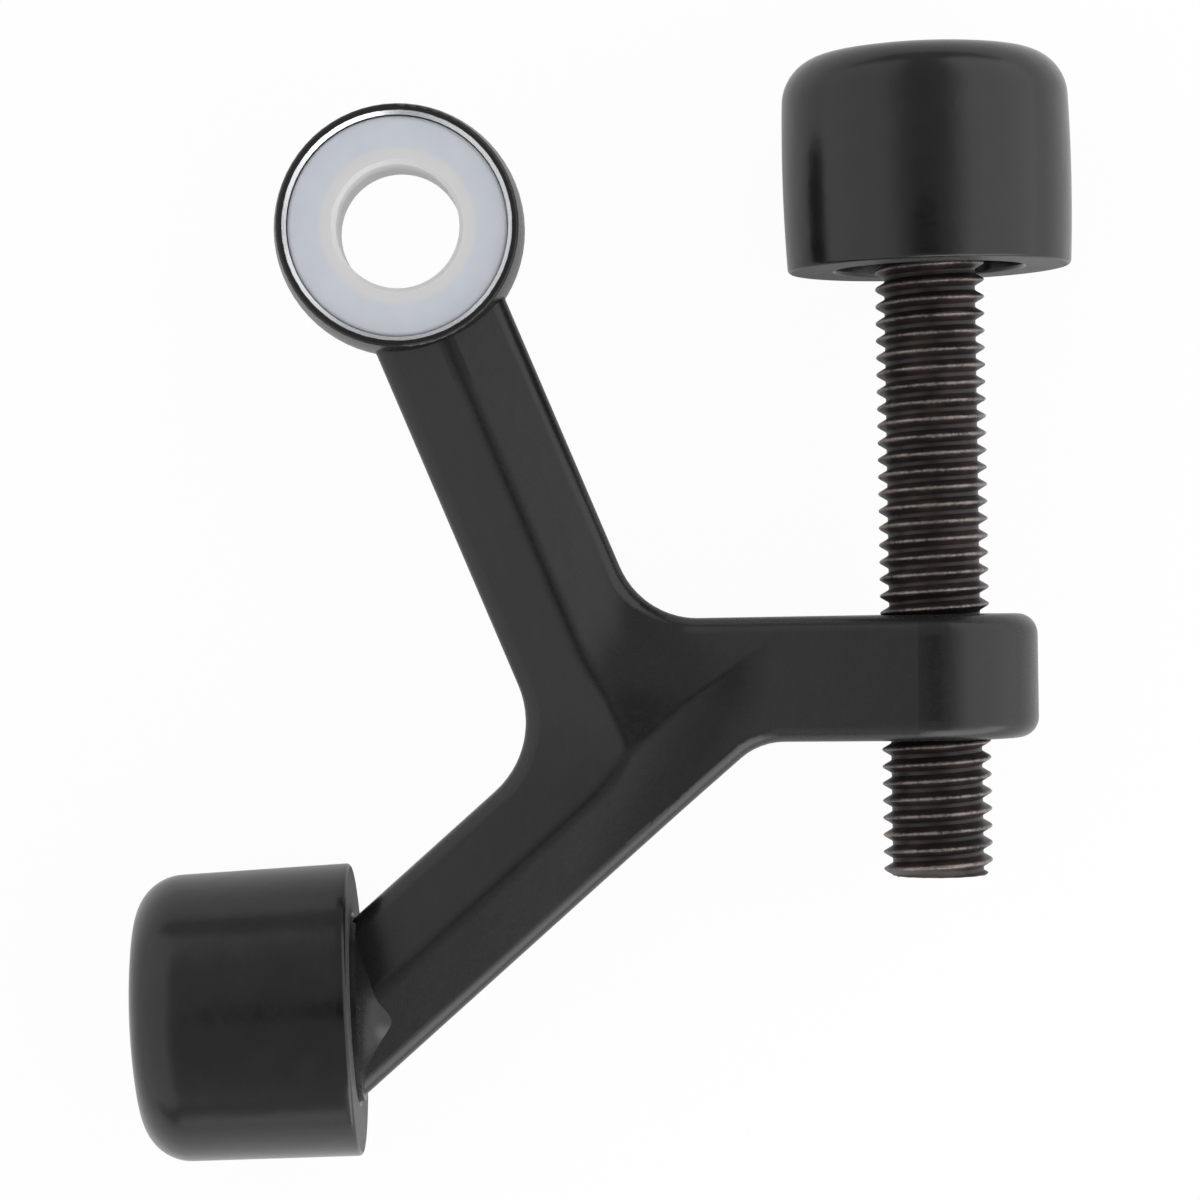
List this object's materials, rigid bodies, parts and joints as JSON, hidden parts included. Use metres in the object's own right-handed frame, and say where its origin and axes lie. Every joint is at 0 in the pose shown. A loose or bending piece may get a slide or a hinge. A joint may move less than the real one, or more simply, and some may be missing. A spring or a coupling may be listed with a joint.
{
  "type": "hinge pin door stop",
  "caption": "Y-shaped cast bracket with a nylon-bushed eye for a hinge pin, a fixed rubber bumper and a rubber bumper on a long adjusting screw.",
  "frame": {"origin": "centre of the hinge pin bore, at half the height of the eye", "axes": "+Z along the hinge pin, up in use; +Y along the adjusting screw towards its bumper; +X along the right arm towards the screw's boss"},
  "size_m": [0.0697, 0.0809, 0.0214],
  "materials": {
    "black_casting": "satin black coating on a zinc casting",
    "natural_nylon": "translucent natural nylon",
    "black_oxide_steel": "black oxide on rolled thread",
    "black_rubber": "satin moulded rubber"
  },
  "bodies": {
    "bracket": {"bracket_casting": "black_casting", "upper_pin_bushing": "natural_nylon", "lower_pin_bushing": "natural_nylon", "fixed_bumper": "black_rubber"},
    "sliding_bumper": {"screw_bumper": "black_rubber"},
    "screw": {"adjusting_screw": "black_oxide_steel"}
  },
  "joints": [
    {"name": "screw_travel", "type": "slide", "parent": "bracket", "child": "sliding_bumper", "axis": [0, 1, 0], "range_m": [-0.025, 0.01]},
    {"name": "screw_turn", "type": "hinge", "parent": "sliding_bumper", "child": "screw", "pos_m": [0.03879, 0, 0], "axis": [0, 1, 0], "range_deg": [-7200, 2880]}
  ],
  "couplings": [
    {"joint": "screw_turn", "follows": "screw_travel", "rad_per_m": 5026.5}
  ]
}
